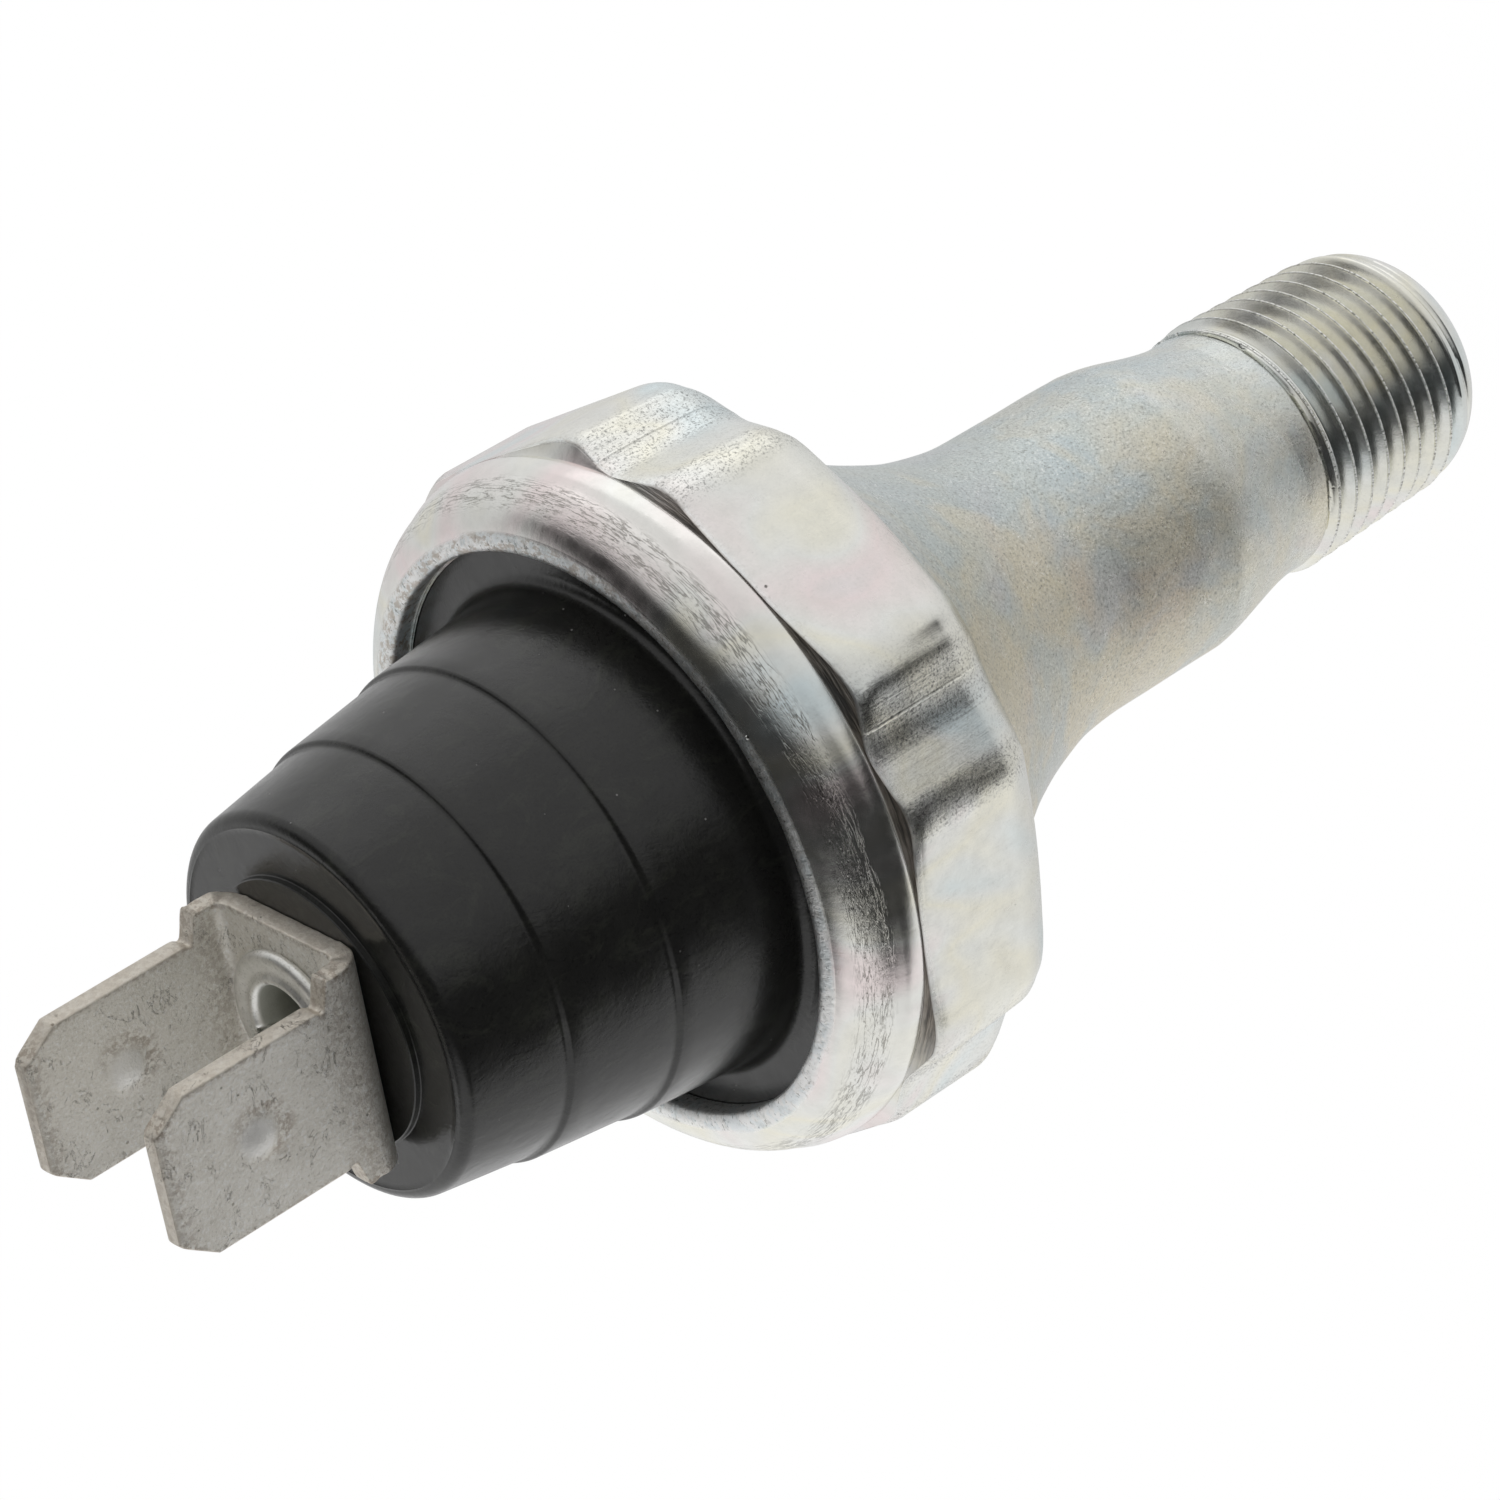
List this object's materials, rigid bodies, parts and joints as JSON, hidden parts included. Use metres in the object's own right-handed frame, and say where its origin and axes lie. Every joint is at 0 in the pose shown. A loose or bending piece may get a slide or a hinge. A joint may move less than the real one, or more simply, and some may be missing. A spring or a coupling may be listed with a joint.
{
  "type": "spark control switch",
  "caption": "Pressure-operated switch with a tapered pipe thread, long stem, notched hexagon, crimped collar, stepped black insulator and a folded terminal with upright blades.",
  "frame": {"origin": "centre of the flat face at the threaded end", "axes": "+Z along the axis from the threaded end to the terminals, +X square to the faces of the terminal blades, +Y along the width of the blades"},
  "size_m": [0.0274, 0.0282, 0.0649],
  "materials": {
    "zinc_steel": "bright zinc plating, satin with tool marks",
    "phenolic": "glossy black moulding",
    "tinned_sheet": "dull tin plating, slightly stained",
    "tinned_rivet": "bright rolled edge",
    "seal_rubber": "matte",
    "film": "amber film",
    "plain_steel": "plain",
    "contact_brass": "plain",
    "plunger_plastic": "matte"
  },
  "bodies": {
    "housing": {"body": "zinc_steel", "seal_ring": "seal_rubber", "diaphragm": "film", "spacer_ring": "plain_steel", "contact_ring": "contact_brass", "spring": "plain_steel", "insulator": "phenolic", "rivet": "tinned_rivet", "terminal": "tinned_sheet"},
    "moving_contact": {"plunger": "plunger_plastic", "contact_disc": "contact_brass"}
  },
  "joints": [
    {"name": "contact_lift", "type": "slide", "parent": "housing", "child": "moving_contact", "axis": [0, 0, 1], "range_m": [0, 0.0005], "stiffness_N_per_m": 2500, "springref_m": -0.002, "deforming": ["spring"]}
  ]
}
